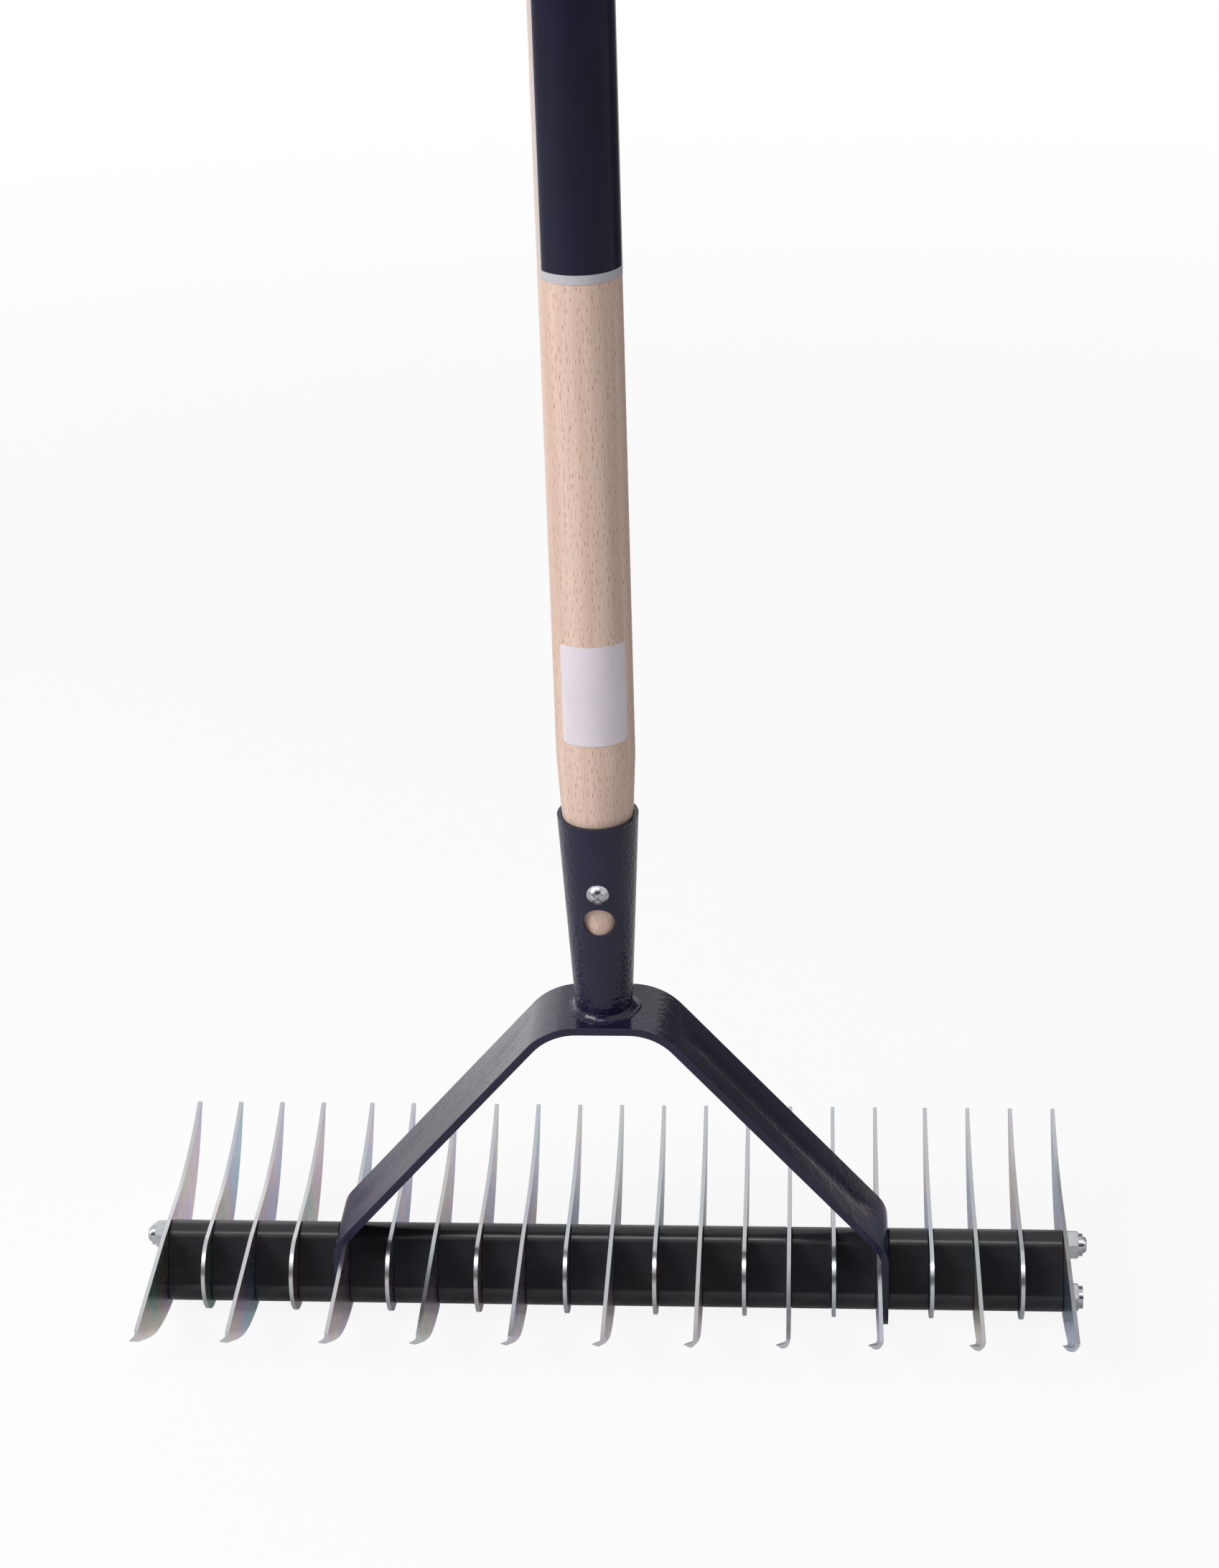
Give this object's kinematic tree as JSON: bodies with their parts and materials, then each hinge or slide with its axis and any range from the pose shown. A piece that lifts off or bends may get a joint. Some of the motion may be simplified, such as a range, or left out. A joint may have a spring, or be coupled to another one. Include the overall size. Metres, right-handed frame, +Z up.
{
  "type": "thatch rake",
  "caption": "Thatch rake with crescent steel blades and black spacers on two rods, held by a bent bow and a tapered socket on a long round wooden handle.",
  "frame": {"origin": "on the handle's axis, at the height of the lowest ends of the bow", "axes": "+Z up along the handle, X along the row of blades, +Y towards the tips of the tines"},
  "size_m": [0.3626, 0.1364, 1.65],
  "materials": {
    "beech": "satin",
    "band_label_film": "gloss",
    "small_label_paper": "satin",
    "navy_paint": "semi-gloss",
    "bright_zinc": "bright",
    "passivated_zinc": "bright",
    "black_plastic": "satin"
  },
  "bodies": {
    "root": {"handle": "beech", "band_label": "band_label_film", "small_label": "small_label_paper", "socket": "navy_paint", "weld": "navy_paint", "handle_screw": "bright_zinc", "bow": "navy_paint", "rod_upper": "bright_zinc", "rod_lower": "bright_zinc", "lock_nuts": "bright_zinc", "blade_01": "passivated_zinc", "blade_02": "passivated_zinc", "blade_03": "passivated_zinc", "blade_04": "passivated_zinc", "blade_05": "passivated_zinc", "blade_06": "passivated_zinc", "blade_07": "passivated_zinc", "blade_08": "passivated_zinc", "blade_09": "passivated_zinc", "blade_10": "passivated_zinc", "blade_11": "passivated_zinc", "blade_12": "passivated_zinc", "blade_13": "passivated_zinc", "blade_14": "passivated_zinc", "blade_15": "passivated_zinc", "blade_16": "passivated_zinc", "blade_17": "passivated_zinc", "blade_18": "passivated_zinc", "blade_19": "passivated_zinc", "blade_20": "passivated_zinc", "blade_21": "passivated_zinc", "spacer_01": "black_plastic", "spacer_02": "black_plastic", "spacer_03": "black_plastic", "spacer_04": "black_plastic", "spacer_05": "black_plastic", "spacer_06": "black_plastic", "spacer_07": "black_plastic", "spacer_08": "black_plastic", "spacer_09": "black_plastic", "spacer_10": "black_plastic", "spacer_11": "black_plastic", "spacer_12": "black_plastic", "spacer_13": "black_plastic", "spacer_14": "black_plastic", "spacer_15": "black_plastic", "spacer_16": "black_plastic", "spacer_17": "black_plastic", "spacer_18": "black_plastic", "spacer_19": "black_plastic", "spacer_20": "black_plastic"}
  },
  "joints": []
}
